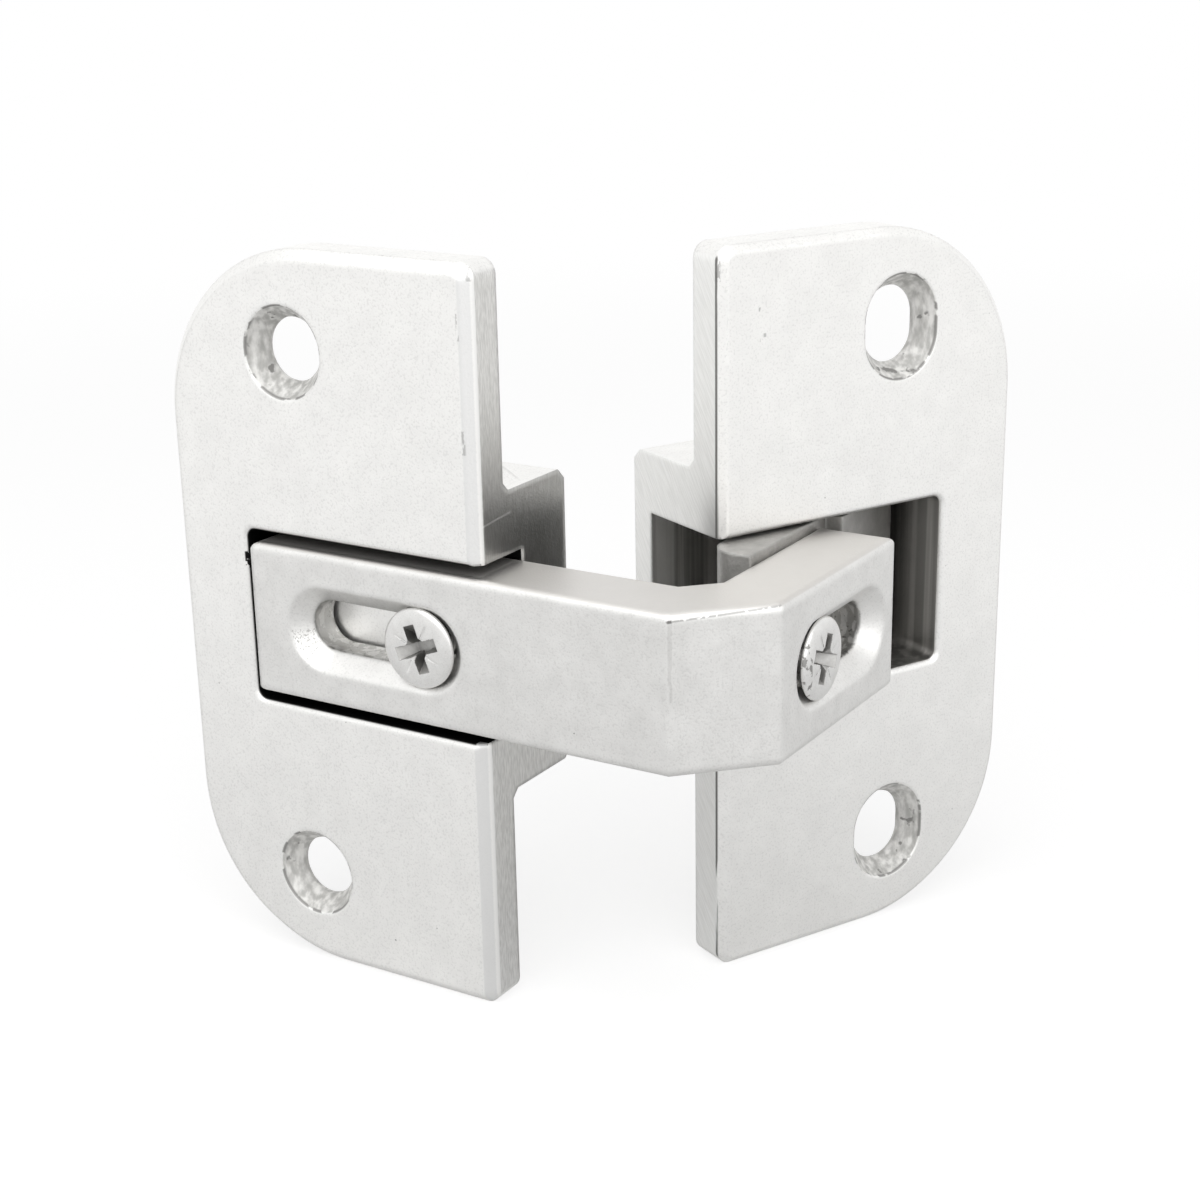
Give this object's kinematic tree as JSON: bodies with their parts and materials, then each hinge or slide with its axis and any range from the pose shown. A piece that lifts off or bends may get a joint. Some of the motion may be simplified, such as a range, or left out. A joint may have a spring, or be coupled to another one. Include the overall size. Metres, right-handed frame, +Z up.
{
  "type": "pie cut corner hinge",
  "caption": "Corner door hinge: two D-shaped cast plates with bosses, joined by a cranked arm that is clamped in one plate and pivots on a pin in the other.",
  "frame": {"origin": "midway between the right cup's two screw slots, on the back face of its plate", "axes": "+Y out of the back of the right cup's plate, into the door; +Z up, along the pivot pin; +X from the cup's inner edge to its rounded end"},
  "size_m": [0.073, 0.055, 0.071],
  "materials": {
    "nickel_casting": "satin nickel plate over a die casting",
    "raw_casting": "blasted casting under thin nickel",
    "steel": "nickel plated steel"
  },
  "bodies": {
    "cup": {"right_cup": "nickel_casting", "pivot_pin": "steel"},
    "knuckle": {"knuckle": "raw_casting", "right_screw": "steel"},
    "arm": {"cranked_arm": "nickel_casting"},
    "plate": {"left_plate": "nickel_casting", "left_screw": "steel"}
  },
  "joints": [
    {"name": "corner_swing", "type": "hinge", "parent": "cup", "child": "knuckle", "pos_m": [0.0021, 0.0036, 0], "axis": [0, 0, 1], "range_deg": [-26, 64]},
    {"name": "right_adjust", "type": "slide", "parent": "knuckle", "child": "arm", "axis": [-0.8988, -0.4384, 0], "range_m": [-0.0012, 0.0089]},
    {"name": "left_adjust", "type": "slide", "parent": "arm", "child": "plate", "axis": [-0.4384, 0.8988, 0], "range_m": [-0.00065, 0.0108]}
  ]
}
